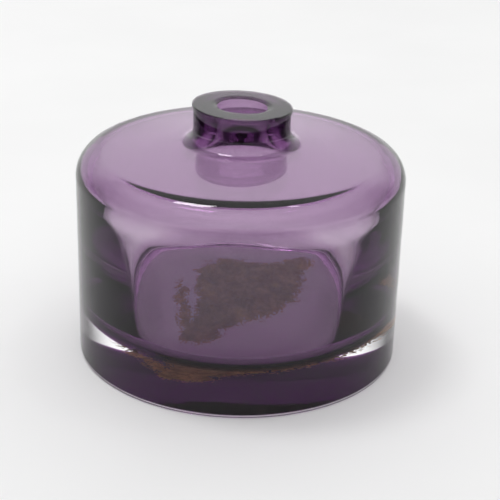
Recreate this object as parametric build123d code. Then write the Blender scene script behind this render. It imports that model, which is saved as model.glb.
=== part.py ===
"""An antique cased-glass bottle: an amethyst bubble blown inside thick colourless glass.

Millimetres. +Z is up the bottle's axis and the origin is the centre of the face that it stands on.
The glass gathers are fused together on the real bottle. Here each one is its own solid, and they
meet face to face.
"""
from build123d import *
import os

os.makedirs("parts", exist_ok=True)

# --- outside of the body ---------------------------------------------------------------------
body_radius = 45.0
foot_rounding = 0.4
shoulder_height = 56.0  # where the side and the shoulder would meet without the rounded edge
shoulder_rounding = 7.0
crown_radius = 39.5  # the shoulder bends from its steep rim to its nearly flat crown here
crown_height = 58.0
crown_rounding = 6.0

# --- neck and lip ----------------------------------------------------------------------------
neck_radius = 13.2
neck_foot_height = 60.5
neck_foot_flare = 4.0
bore_radius = 6.8
bore_entry_rounding = 9.0  # the bore opens into the chamber like a trumpet
mouth_height = 70.2
mouth_tilt = 2.0  # degrees: the hand-finished mouth is a little higher on its -X side
mouth_bevel_width = 1.0
mouth_bevel_depth = 0.5
lip_radius = 13.55
lip_thickness = 1.2
lip_edge_rounding = 0.25
lip_inner_radius = 10.2
chip_spots = [(22.0, 0.9), (-48.0, 1.0), (-57.0, 0.7)]  # (angle round the lip, chip radius)

# --- chamber ---------------------------------------------------------------------------------
floor_height = 10.3
floor_radius = 33.4
floor_rounding = 5.4
waist_radius = 40.0  # the chamber's wall is a cone below this point and nearly upright above it
waist_height = 45.0
waist_rounding = 40.0
ceiling_edge_radius = 41.0
ceiling_edge_height = 53.9
ceiling_edge_rounding = 3.7
ceiling_centre_height = 56.8
lining_thickness = 1.5

# --- where the gathers meet ------------------------------------------------------------------
base_top = floor_height - lining_thickness
neck_joint_height = 58.2
neck_seat = [(13.5, 55.0), (13.5, 57.0), (18.0, 61.0)]  # (radius, height) of the cone under the neck's foot

# --- underside -------------------------------------------------------------------------------
recess_radius = 43.5
recess_depth = 0.4
residue_thickness = 0.15

clearance = 5.0  # how far the cutting tools run past what they cut


def half_section(*corners):
    """The flat half section inside an outline of (radius, height, rounding) corners.

    The first and the last corner lie on the axis.
    """
    points = [(radius, height) for radius, height, _ in corners]
    roundings = [rounding for _, _, rounding in corners[1:-1]]
    outline = FilletPolyline(*points, radius=roundings)
    axis_line = Line(points[-1], points[0])
    return make_face([*outline.edges(), axis_line])


def turned(section):
    """The solid that a half section sweeps round the bottle's axis."""
    return revolve(Plane.XZ * section, Axis.Z)


def drum(radius, low, high):
    """An upright cylinder on the bottle's axis."""
    return Pos(0, 0, low) * Cylinder(radius, high - low, align=(Align.CENTER, Align.CENTER, Align.MIN))


def tilted_at_mouth(shape):
    """Moves a shape built round the origin up to the mouth, and tilts it as the mouth is tilted."""
    return Pos(0, 0, mouth_height) * Rot(0, mouth_tilt, 0) * shape


def body_blank():
    """The whole outside of the bottle, filled solid, without the lip's overhang."""
    top = mouth_height + clearance
    return turned(half_section(
        (0, 0, 0),
        (body_radius, 0, foot_rounding),
        (body_radius, shoulder_height, shoulder_rounding),
        (crown_radius, crown_height, crown_rounding),
        (neck_radius, neck_foot_height, neck_foot_flare),
        (neck_radius, top, 0),
        (0, top, 0),
    ))


def cavity_section():
    """The half section of the air inside: the chamber, and the bore that leads out of it."""
    top = mouth_height + clearance
    return half_section(
        (0, floor_height, 0),
        (floor_radius, floor_height, floor_rounding),
        (waist_radius, waist_height, waist_rounding),
        (ceiling_edge_radius, ceiling_edge_height, ceiling_edge_rounding),
        (bore_radius, ceiling_centre_height, bore_entry_rounding),
        (bore_radius, top, 0),
        (0, top, 0),
    )


def neck_core_blank():
    """Everything inside the conical seat that the neck's foot lies on, up past the mouth."""
    top = mouth_height + clearance
    (seat_low_radius, seat_bottom), (_, seat_low), (seat_high_radius, seat_high) = neck_seat
    return turned(half_section(
        (0, seat_bottom, 0),
        (seat_low_radius, seat_bottom, 0),
        (seat_low_radius, seat_low, 0),
        (seat_high_radius, seat_high, 0),
        (seat_high_radius, top, 0),
        (0, top, 0),
    ))


def bubble_blank():
    """The amethyst bubble, filled solid: the cavity, grown by the lining's thickness."""
    grown = offset(cavity_section(), amount=lining_thickness)
    kept = Pos(body_radius / 2, neck_joint_height / 2) * Rectangle(body_radius, neck_joint_height)
    return turned(grown & kept)


def lip_blank():
    """The flat lip as a tilted disc, with its outer edges rounded."""
    disc = Cylinder(lip_radius, lip_thickness, align=(Align.CENTER, Align.CENTER, Align.MAX))
    return tilted_at_mouth(fillet(disc.edges(), lip_edge_rounding))


def above_mouth():
    """The space above the tilted mouth."""
    size = 4 * lip_radius
    return tilted_at_mouth(Box(size, size, size, align=(Align.CENTER, Align.CENTER, Align.MIN)))


def mouth_bevel():
    """The wide, shallow bevel round the edge of the bore."""
    cone = Cone(
        bore_radius - mouth_bevel_width,
        bore_radius + mouth_bevel_width,
        2 * mouth_bevel_depth,
        align=(Align.CENTER, Align.CENTER, Align.MAX),
    )
    return tilted_at_mouth(cone)


def chips():
    """Small bites out of the lip's edge, as balls that are cut away."""
    balls = []
    for angle, radius in chip_spots:
        ball = Pos(lip_radius + radius / 3, 0, 0) * Sphere(radius)
        balls.append(tilted_at_mouth(Rot(0, 0, angle) * ball))
    return balls


def residue_patch(*outline):
    """A thin crust of old label and glue on the roof of the recess, inside a smooth outline."""
    edge = Spline(*outline, periodic=True)
    low = recess_depth - residue_thickness
    return extrude(Pos(0, 0, low) * make_face(edge), residue_thickness)


cavity = turned(cavity_section())
bubble = bubble_blank()
body = body_blank()

# The colourless pad that the bottle stands on, with its shallow recess.
below_base_top = drum(body_radius + clearance, -clearance, base_top)
base_pad = (body & below_base_top) - drum(recess_radius, -clearance, recess_depth)

# The colourless wall and shoulder, from the pad up to the foot of the neck.
casing_core = neck_core_blank()
above_base = drum(body_radius + clearance, base_top, mouth_height)
clear_casing = (body & above_base) - bubble - casing_core

# The amethyst bubble, open at the bore.
amethyst_bubble = bubble - cavity

# The lip's outer ring. The neck's own rim fills its middle.
lip_ring_blank = lip_blank() - drum(lip_inner_radius, shoulder_height, mouth_height + clearance)
lip_ring = lip_ring_blank
for chip in chips():
    lip_ring = lip_ring - chip

# The amethyst neck, whose foot spreads over the bubble.
neck_core = (body & casing_core) - bubble - cavity
amethyst_neck = neck_core - above_mouth() - mouth_bevel() - lip_ring_blank

# What is left of a paper label and its glue.
label_residue = residue_patch(
    (-19.8, 8.5), (-17.8, 7), (-16, 1), (-14.2, -5), (-13.2, -7.5), (-12.6, -4), (-12.6, 1),
    (-13.5, 8), (-12, 16), (-7, 20.5), (0, 22), (8, 20), (14, 21), (21, 22.5), (26, 18.5),
    (22, 15), (20, 6), (16, 1), (10, -4.5), (2, -8), (-3, -11), (-6, -15), (-11, -17.3),
    (-15, -14.5), (-16.2, -10), (-17.6, -4), (-19.2, 3),
)

NODES = {
    "base_pad": base_pad,
    "clear_casing": clear_casing,
    "amethyst_bubble": amethyst_bubble,
    "amethyst_neck": amethyst_neck,
    "lip_ring": lip_ring,
    "label_residue": label_residue,
}

for name, shape in NODES.items():
    export_step(shape, f"parts/{name}.step")
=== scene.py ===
"""The looks of the antique cased-glass bottle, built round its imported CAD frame.

Metres, in the frame's axes: +Z up the bottle's axis, -Y the front. The glass is one continuous
skin of thick colourless glass. The amethyst layers lie inside it, in optical contact, so their own
surfaces bend no light (an index of 1) and they only take up light on its way through.
"""
import math

import bmesh
import bpy
from mathutils import Matrix, Vector, noise


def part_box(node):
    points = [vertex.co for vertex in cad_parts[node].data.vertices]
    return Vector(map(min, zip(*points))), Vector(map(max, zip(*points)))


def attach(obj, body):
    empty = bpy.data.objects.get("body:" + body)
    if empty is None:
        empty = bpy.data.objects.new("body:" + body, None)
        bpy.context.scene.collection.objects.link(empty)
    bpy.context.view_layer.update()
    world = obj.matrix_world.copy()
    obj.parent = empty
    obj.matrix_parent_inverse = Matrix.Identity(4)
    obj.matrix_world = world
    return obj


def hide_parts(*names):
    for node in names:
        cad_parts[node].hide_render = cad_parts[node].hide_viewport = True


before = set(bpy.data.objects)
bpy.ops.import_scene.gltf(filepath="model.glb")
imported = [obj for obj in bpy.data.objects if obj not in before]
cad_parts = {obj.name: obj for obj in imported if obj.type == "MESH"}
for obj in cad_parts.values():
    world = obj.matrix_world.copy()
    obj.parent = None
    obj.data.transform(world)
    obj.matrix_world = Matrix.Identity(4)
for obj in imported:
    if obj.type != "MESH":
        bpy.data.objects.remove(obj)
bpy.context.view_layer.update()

MM = 0.001

# --- places that come from the frame --------------------------------------------------------
base_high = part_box("base_pad")[1]
bubble_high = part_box("amethyst_bubble")[1]
residue_low, residue_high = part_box("label_residue")

lining_thickness = 1.5 * MM
body_radius = base_high.x
floor_height = base_high.z + lining_thickness
neck_joint_height = bubble_high.z
recess_depth = residue_high.z

# --- the same dimensions as the CAD part, where the frame's boxes don't give them -------------
foot_rounding = 0.4 * MM
recess_edge_rounding = 0.3 * MM
recess_lip_width = 0.2 * MM
recess_lip_rounding = 0.1 * MM
shoulder_height = 56.0 * MM
shoulder_rounding = 7.0 * MM
crown_radius = 39.5 * MM
crown_height = 58.0 * MM
crown_rounding = 6.0 * MM
neck_radius = 13.2 * MM
neck_foot_height = 60.5 * MM
neck_foot_flare = 4.0 * MM
bore_radius = 6.8 * MM
bore_entry_rounding = 9.0 * MM
mouth_tilt = math.radians(2.0)
mouth_height = 70.2 * MM
mouth_bevel_width = 1.0 * MM
mouth_bevel_depth = 0.5 * MM
lip_radius = 13.55 * MM
lip_thickness = 1.2 * MM
lip_edge_rounding = 0.25 * MM
lip_inner_radius = 10.2 * MM
floor_radius = 33.4 * MM
floor_rounding = 5.4 * MM
waist_radius = 40.0 * MM
waist_height = 45.0 * MM
waist_rounding = 40.0 * MM
ceiling_edge_radius = 41.0 * MM
ceiling_edge_height = 53.9 * MM
ceiling_edge_rounding = 3.7 * MM
ceiling_centre_height = 56.8 * MM
recess_radius = 43.5 * MM
CHIPS = [(22.0, 0.9 * MM), (-48.0, 1.0 * MM), (-57.0, 0.7 * MM)]  # (degrees round the lip, radius)

# --- how the meshes are made ----------------------------------------------------------------
ROUND_STEPS = 288
LONGEST_STRETCH = 0.9 * MM
ARC_STEP = math.radians(4)
SHARP_ANGLE = math.radians(35)
SMALLEST = 1e-7  # shorter than any real edge
ON_AXIS = 1e-6  # a point nearer the axis than this lies on it
CONTACT = 0.03 * MM  # how deep a layer starts under the skin's surface

# --- the glassmaker's hand --------------------------------------------------------------------
WAVE_HEIGHT = 0.10 * MM
WAVE_SCALE, RIPPLE_SCALE = 42, 105
RIPPLE_SHARE = 0.4
WAVE_START, WAVE_FULL = 3 * MM, 12 * MM  # the foot stays flat and the waves grow above it
TILT_START = neck_foot_height + 3 * MM


# --- outlines -------------------------------------------------------------------------------
def arc_at_corner(before, corner, after, rounding):
    """The points of the arc that rounds one corner of an outline."""
    back = before - corner
    ahead = after - corner
    half_angle = back.angle(ahead) / 2
    reach = rounding / math.tan(half_angle)
    inward = (back.normalized() + ahead.normalized()).normalized()
    centre = corner + inward * (rounding / math.sin(half_angle))
    start = corner + back.normalized() * reach - centre
    end = corner + ahead.normalized() * reach - centre
    turn = start.angle_signed(end)
    steps = max(5, round(abs(turn) / ARC_STEP))
    points = []
    for step in range(steps + 1):
        angle = -turn * step / steps
        points.append(centre + Matrix.Rotation(angle, 2) @ start)
    return points


def rounded(corners):
    """The outline through (radius, height, rounding) corners, as evenly divided points."""
    places = [Vector((radius, height)) for radius, height, _ in corners]
    points = [places[0]]
    for i in range(1, len(corners) - 1):
        rounding = corners[i][2]
        if rounding:
            points += arc_at_corner(places[i - 1], places[i], places[i + 1], rounding)
        else:
            points.append(places[i])
    points.append(places[-1])
    return divided(points)


def divided(points):
    """An outline with its long stretches divided."""
    out = [points[0]]
    for start, end in zip(points, points[1:]):
        length = (end - start).length
        if length < SMALLEST:
            continue
        parts = math.ceil(length / LONGEST_STRETCH)
        for part in range(1, parts + 1):
            out.append(start.lerp(end, part / parts))
    return out


def moved_sideways(points, distances):
    """An outline with each point moved to the outline's left by its own distance."""
    out = []
    last = len(points) - 1
    for i, point in enumerate(points):
        run = points[min(last, i + 1)] - points[max(0, i - 1)]
        left = Vector((-run.y, run.x)).normalized()
        out.append(point + left * distances[i])
    return out


def outside_outline():
    """The outside of the glass, from the middle of the recess up to the edge of the bore."""
    under_lip = mouth_height - lip_thickness
    return rounded([
        (0, recess_depth, 0),
        (recess_radius, recess_depth, recess_edge_rounding),
        (recess_radius + recess_lip_width, 0, recess_lip_rounding),
        (body_radius, 0, foot_rounding),
        (body_radius, shoulder_height, shoulder_rounding),
        (crown_radius, crown_height, crown_rounding),
        (neck_radius, neck_foot_height, neck_foot_flare),
        (neck_radius, under_lip, 0),
        (lip_radius, under_lip, lip_edge_rounding),
        (lip_radius, mouth_height, lip_edge_rounding),
        (bore_radius + mouth_bevel_width, mouth_height, 0),
    ])


def chamber_outline():
    """The inside of the glass, from the edge of the bore down to the middle of the floor."""
    return rounded([
        (bore_radius + mouth_bevel_width, mouth_height, 0),
        (bore_radius, mouth_height - mouth_bevel_depth, 0),
        (bore_radius, ceiling_centre_height, bore_entry_rounding),
        (ceiling_edge_radius, ceiling_edge_height, ceiling_edge_rounding),
        (waist_radius, waist_height, waist_rounding),
        (floor_radius, floor_height, floor_rounding),
        (0, floor_height, 0),
    ])


# --- meshes ---------------------------------------------------------------------------------
def eased(value, low, high):
    """0 below low and 1 above high, with a smooth step between them."""
    t = min(1.0, max(0.0, (value - low) / (high - low)))
    return t * t * (3 - 2 * t)


def worked_by_hand(point, depth):
    """Where the glassmaker's hand left a point: the tilt of the mouth, its chips, and slight waves.

    The depth is how far under the glass's surface the point lies, so that a chip reaches it later.
    """
    radius = math.hypot(point.x, point.y)
    out = Vector((point.x, point.y, 0)) / radius if radius > ON_AXIS else Vector((0, 0, 0))
    wave = noise.noise(point * WAVE_SCALE + Vector((3.1, 7.7, 1.9)))
    ripple = noise.noise(point * RIPPLE_SCALE)
    wave += RIPPLE_SHARE * ripple
    moved = point + out * (wave * WAVE_HEIGHT * eased(point.z, WAVE_START, WAVE_FULL))
    near_mouth = eased(point.z, TILT_START, mouth_height - lip_thickness)
    moved.z -= point.x * math.tan(mouth_tilt) * near_mouth
    for angle, chip_radius in CHIPS:
        turn = math.radians(angle)
        reach = lip_radius + chip_radius / 3
        top = mouth_height - reach * math.cos(turn) * math.tan(mouth_tilt)
        centre = Vector((reach * math.cos(turn), reach * math.sin(turn), top))
        away = moved - centre
        if away.length < chip_radius + depth:
            moved = centre + away.normalized() * (chip_radius + depth)
    return moved


def spun(name, outline, material, depth=CONTACT):
    """A mesh made by turning an outline round the axis. A closed outline makes a ring."""
    mesh = bpy.data.meshes.new(name)
    shape = bmesh.new()
    rings = []
    for point in outline:
        if point.x < ON_AXIS:
            rings.append([shape.verts.new(worked_by_hand(Vector((0, 0, point.y)), depth))] * ROUND_STEPS)
            continue
        ring = []
        for step in range(ROUND_STEPS):
            turn = 2 * math.pi * step / ROUND_STEPS
            place = Vector((point.x * math.cos(turn), point.x * math.sin(turn), point.y))
            ring.append(shape.verts.new(worked_by_hand(place, depth)))
        rings.append(ring)
    for lower, upper in zip(rings, rings[1:]):
        for step in range(ROUND_STEPS):
            after = (step + 1) % ROUND_STEPS
            corners = [lower[step], lower[after], upper[after], upper[step]]
            unique = list(dict.fromkeys(corners))
            if len(unique) > 2:
                shape.faces.new(unique)
    bmesh.ops.remove_doubles(shape, verts=shape.verts, dist=SMALLEST)
    bmesh.ops.recalc_face_normals(shape, faces=shape.faces)
    shape.to_mesh(mesh)
    shape.free()
    mesh.materials.append(material)
    mesh.polygons.foreach_set("use_smooth", [True] * len(mesh.polygons))
    mesh.set_sharp_from_angle(angle=SHARP_ANGLE)
    piece = bpy.data.objects.new(name, mesh)
    bpy.context.scene.collection.objects.link(piece)
    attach(piece, "root")
    return piece


# --- materials ------------------------------------------------------------------------------
GLASS_IOR = 1.5
SMUDGE_ROUGHNESS = 0.03
LIP_ROUGHNESS = 0.25
FOOT_ROUGHNESS = 0.3  # worn where the bottle stands
TAKEN_PER_METRE = (348.0, 520.0, 328.0)  # how strongly amethyst takes up red, green and blue light
AMETHYST_DENSITY = 600.0  # any value above the largest of those three gives the same glass
MOUTH_STRENGTH = 0.35  # the neck and the lip are paler


class Nodes:
    """A short way to add and join a node tree's nodes."""

    def __init__(self, tree):
        self.tree = tree
        tree.nodes.clear()

    def add(self, kind, inputs=None, **settings):
        node = self.tree.nodes.new(kind)
        for name, value in settings.items():
            setattr(node, name, value)
        for name, value in (inputs or {}).items():
            socket = node.inputs[name]
            if isinstance(value, bpy.types.NodeSocket):
                self.tree.links.new(value, socket)
            else:
                socket.default_value = value
        return node

    def math(self, operation, first, second=0.0, third=0.0):
        inputs = {0: first, 1: second, 2: third}
        return self.add("ShaderNodeMath", inputs, operation=operation).outputs[0]

    def ramp(self, value, low, high, to_low=0.0, to_high=1.0):
        """A smooth step of a value, from one pair of limits to another."""
        inputs = {
            "Value": value,
            "From Min": low,
            "From Max": high,
            "To Min": to_low,
            "To Max": to_high,
        }
        node = self.add("ShaderNodeMapRange", inputs, interpolation_type="SMOOTHSTEP")
        return node.outputs["Result"]

    def noise(self, vector, scale, detail=3.0, roughness=0.5):
        inputs = {"Vector": vector, "Scale": scale, "Detail": detail, "Roughness": roughness}
        return self.add("ShaderNodeTexNoise", inputs).outputs["Fac"]

    def mix(self, factor, first, second):
        inputs = {"Factor": factor, 6: first, 7: second}
        return self.add("ShaderNodeMix", inputs, data_type="RGBA").outputs[2]


def new_material(name):
    material = bpy.data.materials.new(name)
    material.use_nodes = True
    return material, Nodes(material.node_tree)


def clear_glass():
    """Thick colourless glass: bright, with a dulled mouth, a worn foot and faint handling marks."""
    material, nodes = new_material("clear_glass")
    place = nodes.add("ShaderNodeTexCoord").outputs["Object"]
    height = nodes.add("ShaderNodeSeparateXYZ", {0: place}).outputs[2]
    smudges = nodes.ramp(nodes.noise(place, 55, 4, 0.6), 0.58, 0.75, 0.0, SMUDGE_ROUGHNESS)
    lip = nodes.ramp(height, mouth_height - 2.4 * MM, mouth_height - 1.2 * MM, 0.0, LIP_ROUGHNESS)
    lip = nodes.math("MULTIPLY", lip, nodes.ramp(nodes.noise(place, 900, 3), 0.3, 0.6, 0.5, 1.0))
    foot = nodes.ramp(height, 0.25 * MM, 0.02 * MM, 0.0, FOOT_ROUGHNESS)
    roughness = nodes.math("ADD", nodes.math("MAXIMUM", smudges, lip), foot)
    shader = nodes.add("ShaderNodeBsdfPrincipled", {
        "Base Color": (1, 1, 1, 1),
        "Roughness": roughness,
        "IOR": GLASS_IOR,
        "Transmission Weight": 1.0,
    })
    nodes.add("ShaderNodeOutputMaterial", {"Surface": shader.outputs[0]})
    return material


def amethyst(name, strength=1.0):
    """Amethyst glass in contact with the skin. It has faint streaks and takes up mostly green light."""
    material, nodes = new_material(name)
    place = nodes.add("ShaderNodeTexCoord").outputs["Object"]
    stretched = nodes.add("ShaderNodeMapping", {0: place, "Scale": (60, 60, 260)}).outputs[0]
    streaks = nodes.ramp(nodes.noise(stretched, 1.0, 4, 0.55), 0.35, 0.7)
    shader = nodes.add("ShaderNodeBsdfPrincipled", {
        "Base Color": nodes.mix(streaks, (1, 1, 1, 1), (0.985, 0.975, 0.985, 1)),
        "Roughness": 0.0,
        "IOR": 1.0,
        "Transmission Weight": 1.0,
    })
    red, green, blue = [1 - strength * taken / AMETHYST_DENSITY for taken in TAKEN_PER_METRE]
    volume = nodes.add("ShaderNodeVolumeAbsorption", {
        "Color": (red, green, blue, 1),
        "Density": AMETHYST_DENSITY,
    })
    nodes.add("ShaderNodeOutputMaterial", {"Surface": shader.outputs[0], "Volume": volume.outputs[0]})
    return material


def dried_residue():
    """What is left of a paper label and its glue: matt brown, with ochre and dark patches."""
    material, nodes = new_material("dried_label_residue")
    place = nodes.add("ShaderNodeTexCoord").outputs["Object"]
    large = nodes.ramp(nodes.noise(place, 130, 5, 0.6), 0.35, 0.65)
    fine = nodes.ramp(nodes.noise(place, 700, 4, 0.65), 0.4, 0.65)
    ochre = nodes.ramp(nodes.noise(place, 90, 2), 0.55, 0.7)
    brown = nodes.mix(large, (0.44, 0.20, 0.07, 1), (0.70, 0.36, 0.13, 1))
    brown = nodes.mix(nodes.math("MULTIPLY", fine, 0.6), brown, (0.28, 0.12, 0.04, 1))
    colour = nodes.mix(nodes.math("MULTIPLY", ochre, 0.6), brown, (0.86, 0.50, 0.11, 1))
    bump = nodes.add("ShaderNodeBump", {"Height": fine, "Strength": 0.5, "Distance": 0.0001})
    shader = nodes.add("ShaderNodeBsdfPrincipled", {
        "Base Color": colour,
        "Roughness": nodes.ramp(fine, 0, 1, 0.75, 0.95),
        "Normal": bump.outputs[0],
    })
    nodes.add("ShaderNodeOutputMaterial", {"Surface": shader.outputs[0]})
    return material


def pale_floor():
    """White paper, lit a little from below so that the bottle's shadow stays light."""
    material, nodes = new_material("pale_floor")
    place = nodes.add("ShaderNodeTexCoord").outputs["Object"]
    mottle = nodes.ramp(nodes.noise(place, 9, 3), 0.3, 0.7)
    shader = nodes.add("ShaderNodeBsdfPrincipled", {
        "Base Color": nodes.mix(mottle, (0.70, 0.70, 0.70, 1), (0.72, 0.72, 0.72, 1)),
        "Roughness": 0.9,
        "Emission Color": (1, 1, 1, 1),
        "Emission Strength": FLOOR_GLOW,
    })
    nodes.add("ShaderNodeOutputMaterial", {"Surface": shader.outputs[0]})
    return material


# --- pieces of glass ------------------------------------------------------------------------
FLOOR_LEVELS = (11.5 * MM, 19.0 * MM)  # the lining thins out between these two levels
CEILING_LEVELS = (47.0 * MM, 54.0 * MM)  # and it thickens again between these two
WALL_SHARE = 0.38  # what is left of its thickness in the wall
FLOOR_SHARE = 1.25  # it settled a little thicker on the floor
GAP = 0.06 * MM  # between the lining and the neck's amethyst
NECK_FOOT_EDGE = (16.95 * MM, 60.08 * MM)
NECK_FOOT_SEAT = (13.9 * MM, 58.0 * MM)
NECK_JOINT_RADIUS = 13.1 * MM


def make_skin():
    """The whole surface of the glass, outside and inside, as one closed skin."""
    outline = outside_outline() + chamber_outline()[1:]
    skin = spun("glass_skin", outline, clear_glass(), depth=0)
    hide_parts("base_pad", "clear_casing")


def lining_thickness_at(height):
    """The amethyst layer is drawn thin in the wall, where the bubble was blown out most."""
    floor_share = 1 - eased(height, *FLOOR_LEVELS)
    ceiling_share = eased(height, *CEILING_LEVELS)
    full = max(FLOOR_SHARE * floor_share, ceiling_share)
    return lining_thickness * (WALL_SHARE + (1 - WALL_SHARE) * full)


def make_lining(material):
    """The amethyst layer round the chamber, just inside the skin of the chamber."""
    chamber = [point for point in chamber_outline() if point.y < neck_joint_height - CONTACT]
    thicknesses = [lining_thickness_at(point.y) for point in chamber]
    near = moved_sideways(chamber, [CONTACT] * len(chamber))
    far = moved_sideways(chamber, [CONTACT + thickness for thickness in thicknesses])
    near[-1].x = 0
    far[-1].x = 0
    near[0].y = neck_joint_height
    far[0].y = neck_joint_height
    outline = near + far[::-1] + near[:1]
    lining = spun("amethyst_lining", outline, material)
    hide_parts("amethyst_bubble")


def make_neck(material):
    """The amethyst neck, whose inside follows the trumpet and whose foot spreads over the lining."""
    top = mouth_height - CONTACT
    under_lip = top - lip_thickness + CONTACT
    above_joint = [point for point in chamber_outline() if point.y > neck_joint_height + GAP]
    inside = moved_sideways(above_joint, [CONTACT] * len(above_joint))
    inside[0].y = top
    inside[-1].y = neck_joint_height + GAP
    outside = rounded([
        (lip_inner_radius, top, 0),
        (lip_inner_radius, under_lip, 0),
        (neck_radius - CONTACT, under_lip, 0),
        (neck_radius - CONTACT, neck_foot_height - CONTACT, neck_foot_flare),
        (NECK_FOOT_EDGE[0], NECK_FOOT_EDGE[1], 0),
        (NECK_FOOT_SEAT[0], NECK_FOOT_SEAT[1], 0),
        (NECK_JOINT_RADIUS, neck_joint_height + GAP, 0),
    ])
    ring = inside + outside[::-1] + inside[:1]
    neck = spun("amethyst_neck_glass", ring, material)
    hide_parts("amethyst_neck")


def make_lip(material):
    """The flat lip's amethyst core, just under its skin."""
    top = mouth_height - CONTACT
    low = mouth_height - lip_thickness + CONTACT
    ring = rounded([
        (lip_inner_radius + CONTACT, low, 0),
        (lip_inner_radius + CONTACT, top, 0),
        (lip_radius - CONTACT, top, lip_edge_rounding),
        (lip_radius - CONTACT, low, lip_edge_rounding),
        (lip_inner_radius + CONTACT, low, 0),
    ])
    lip = spun("lip_core", ring, material)
    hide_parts("lip_ring")


# --- residue --------------------------------------------------------------------------------
LABEL_PATCH = [
    (-19.8, 8.5), (-17.8, 7), (-16, 1), (-14.2, -5), (-13.2, -7.5), (-12.6, -4), (-12.6, 1),
    (-13.5, 8), (-12, 16), (-7, 20.5), (0, 22), (8, 20), (14, 21), (21, 22.5), (26, 18.5),
    (22, 15), (20, 6), (16, 1), (10, -4.5), (2, -8), (-3, -11), (-6, -15), (-11, -17.3),
    (-15, -14.5), (-16.2, -10), (-17.6, -4), (-19.2, 3),
]
CRUST_CELL = 0.25 * MM
EMBEDDED = 0.02 * MM  # how deep the crust starts in the glass
RAGGEDNESS = 1.8 * MM  # how far the crust's edge strays from its outline
FRAYING = 3.0 * MM  # how wide the edge breaks up into crumbs
RAGGED_SCALE, CRUMB_SCALE = 300, 1900
CRUST_INSET = 0.05 * MM  # the crust's rough face stays about this far inside its CAD solid
CRUST_ROUGHNESS = 0.03 * MM


def smooth_loop(corners, steps=14):
    """Points along a smooth closed curve through some corners, in metres."""
    count = len(corners)
    points = []
    for i in range(count):
        a, b, c, d = [Vector(corners[(i + k) % count]) for k in (-1, 0, 1, 2)]
        for step in range(steps):
            t = step / steps
            points.append(0.5 * MM * (2 * b + (c - a) * t + (2 * a - 5 * b + 4 * c - d) * t * t
                                      + (3 * b - a - 3 * c + d) * t * t * t))
    return points


def signed_distance(point, loop):
    """How far a point is inside a closed loop of points. It is negative outside."""
    inside = False
    nearest = 1.0
    for a, b in zip(loop, loop[1:] + loop[:1]):
        if (a.y > point.y) != (b.y > point.y):
            if point.x < (b.x - a.x) * (point.y - a.y) / (b.y - a.y) + a.x:
                inside = not inside
        run = b - a
        t = min(1.0, max(0.0, (point - a).dot(run) / max(run.dot(run), 1e-12)))
        nearest = min(nearest, (point - a - run * t).length)
    return nearest if inside else -nearest


def crust_cells(loop, low, columns, rows):
    """The cells of a square grid that the crust fills. Its edge is ragged and frays into crumbs."""
    filled = set()
    for i in range(columns):
        for j in range(rows):
            middle = low + Vector((i + 0.5, j + 0.5)) * CRUST_CELL
            ragged = noise.fractal(middle.to_3d() * RAGGED_SCALE, 1.0, 2.0, 4) * RAGGEDNESS
            crumbs = noise.noise(middle.to_3d() * CRUMB_SCALE) * FRAYING
            if signed_distance(middle, loop) + ragged + crumbs > 0:
                filled.add((i, j))
    return without_corner_contacts(filled)


def without_corner_contacts(filled):
    """Fills cells until no two filled cells touch only at a corner."""
    waiting = sorted(filled)
    while waiting:
        i, j = waiting.pop()
        for side in (-1, 1):
            beside, above, diagonal = (i + side, j), (i, j + 1), (i + side, j + 1)
            if diagonal in filled and beside not in filled and above not in filled:
                filled.add(above)
                waiting += [above, (i, j), (i - 1, j), (i + 1, j)]
    return filled


def crust(name, corners, material):
    """A thin ragged crust inside an outline, on the roof of the recess and a little into its skin."""
    loop = smooth_loop(corners)
    margin = RAGGEDNESS / 2
    low = Vector((min(p.x for p in loop) - margin, min(p.y for p in loop) - margin))
    columns = math.ceil((max(p.x for p in loop) + margin - low.x) / CRUST_CELL)
    rows = math.ceil((max(p.y for p in loop) + margin - low.y) / CRUST_CELL)
    shape = bmesh.new()
    corners_made = {}

    def vertex(i, j):
        if (i, j) not in corners_made:
            shift_x = noise.noise(Vector((i * 0.9, j * 0.9, 5))) * CRUST_CELL * 0.45
            shift_y = noise.noise(Vector((i * 0.9, j * 0.9, 9))) * CRUST_CELL * 0.45
            x = low.x + i * CRUST_CELL + shift_x
            y = low.y + j * CRUST_CELL + shift_y
            corners_made[i, j] = shape.verts.new((x, y, recess_depth + EMBEDDED))
        return corners_made[i, j]

    for i, j in sorted(crust_cells(loop, low, columns, rows)):
        shape.faces.new([vertex(i, j), vertex(i + 1, j), vertex(i + 1, j + 1), vertex(i, j + 1)])
    lower = bmesh.ops.extrude_face_region(shape, geom=shape.faces[:])["geom"]
    for item in lower:
        if isinstance(item, bmesh.types.BMVert):
            rough = noise.noise(item.co * 1500) * CRUST_ROUGHNESS
            item.co.z = residue_low.z + CRUST_INSET + rough
    bmesh.ops.recalc_face_normals(shape, faces=shape.faces)
    mesh = bpy.data.meshes.new(name)
    shape.to_mesh(mesh)
    shape.free()
    mesh.materials.append(material)
    piece = bpy.data.objects.new(name, mesh)
    bpy.context.scene.collection.objects.link(piece)
    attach(piece, "root")
    return piece


def make_residue():
    material = dried_residue()
    label = crust("label_crust", LABEL_PATCH, material)
    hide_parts("label_residue")


# --- room -----------------------------------------------------------------------------------
FLOOR_HALF = 1.2
FLOOR_GLOW = 0.16
BACK_LOW, BACK_HIGH = 0.35, 0.75
TOP_LOW, TOP_HIGH = 0.45, 0.80
DARK_LEVEL = 0.12
BRIGHT_LEVEL = 1.18
VIEW_GAMMA = 0.9


def make_floor():
    mesh = bpy.data.meshes.new("floor")
    shape = bmesh.new()
    bmesh.ops.create_grid(shape, x_segments=8, y_segments=8, size=FLOOR_HALF)
    shape.to_mesh(mesh)
    shape.free()
    mesh.materials.append(pale_floor())
    floor = bpy.data.objects.new("floor", mesh)
    floor.location.z = -0.02 * MM
    bpy.context.scene.collection.objects.link(floor)


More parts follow.
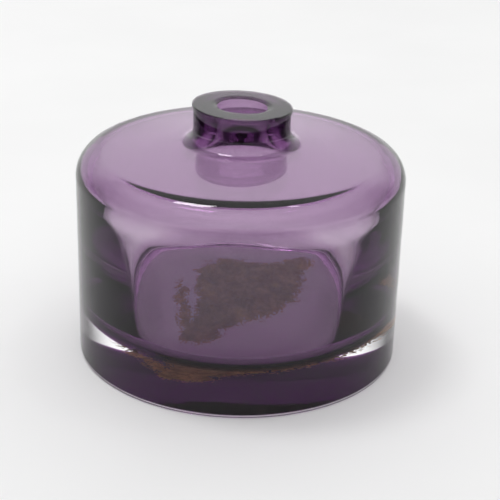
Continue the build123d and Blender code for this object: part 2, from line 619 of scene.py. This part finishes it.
def light_room():
    """White walls behind and a white ceiling. The room in front is darker."""
    world = bpy.data.worlds.new("studio")
    bpy.context.scene.world = world
    world.use_nodes = True
    nodes = Nodes(world.node_tree)
    direction = nodes.add("ShaderNodeTexCoord").outputs["Generated"]
    parts = nodes.add("ShaderNodeSeparateXYZ", {0: direction}).outputs
    behind = nodes.ramp(parts[1], BACK_LOW, BACK_HIGH)
    above = nodes.ramp(parts[2], TOP_LOW, TOP_HIGH)
    white = nodes.math("MAXIMUM", behind, above)
    strength = nodes.math("MULTIPLY_ADD", white, BRIGHT_LEVEL - DARK_LEVEL, DARK_LEVEL)
    background = nodes.add("ShaderNodeBackground", {"Color": (1, 1, 1, 1), "Strength": strength})
    nodes.add("ShaderNodeOutputWorld", {"Surface": background.outputs[0]})


def ceiling_light(name, place, size, turn, power):
    """A flat light under the ceiling, seen as a bright mark in the shoulder."""
    light = bpy.data.lights.new(name, "AREA")
    light.shape = "RECTANGLE"
    light.size, light.size_y = size
    light.energy = power
    lamp = bpy.data.objects.new(name, light)
    lamp.location = place
    lamp.rotation_euler.z = math.radians(turn)
    bpy.context.scene.collection.objects.link(lamp)


def make_camera():
    distance = 8.0 * body_radius
    look_at = Vector((0, 0, 0.7 * body_radius))
    elevation = math.radians(23.107)
    roll = math.radians(1.413)
    back = Vector((0, -math.cos(elevation), math.sin(elevation)))
    camera = bpy.data.cameras.new("camera")
    camera.sensor_fit = "HORIZONTAL"
    camera.sensor_width = 36
    camera.lens = 92.54
    camera.shift_x = 0.02136
    camera.shift_y = -0.02495
    view = bpy.data.objects.new("camera", camera)
    bpy.context.scene.collection.objects.link(view)
    aimed = (-back).to_track_quat("-Z", "Y").to_matrix().to_4x4()
    rolled = Matrix.Rotation(roll, 4, "Z")
    view.matrix_world = Matrix.Translation(look_at + back * distance) @ aimed @ rolled
    bpy.context.scene.camera = view


def set_look():
    """Enough bounces for light to find its way through the glass, and plain colours."""
    scene = bpy.context.scene
    scene.cycles.max_bounces = 32
    scene.cycles.transmission_bounces = 32
    scene.cycles.glossy_bounces = 16
    scene.cycles.diffuse_bounces = 4
    scene.cycles.use_denoising = True
    scene.view_settings.view_transform = "Standard"
    scene.view_settings.gamma = VIEW_GAMMA


make_skin()
purple = amethyst("amethyst_glass")
make_lining(purple)
pale_purple = amethyst("pale_amethyst_glass", MOUTH_STRENGTH)
make_neck(pale_purple)
make_lip(pale_purple)
make_residue()
make_floor()
light_room()
ceiling_light("large_light", (-0.389, 0.125, 1.4), (0.37, 0.27), -29, 4.3)
ceiling_light("small_light", (0.443, 0.155, 1.4), (0.10, 0.10), 20, 0.5)
make_camera()
set_look()
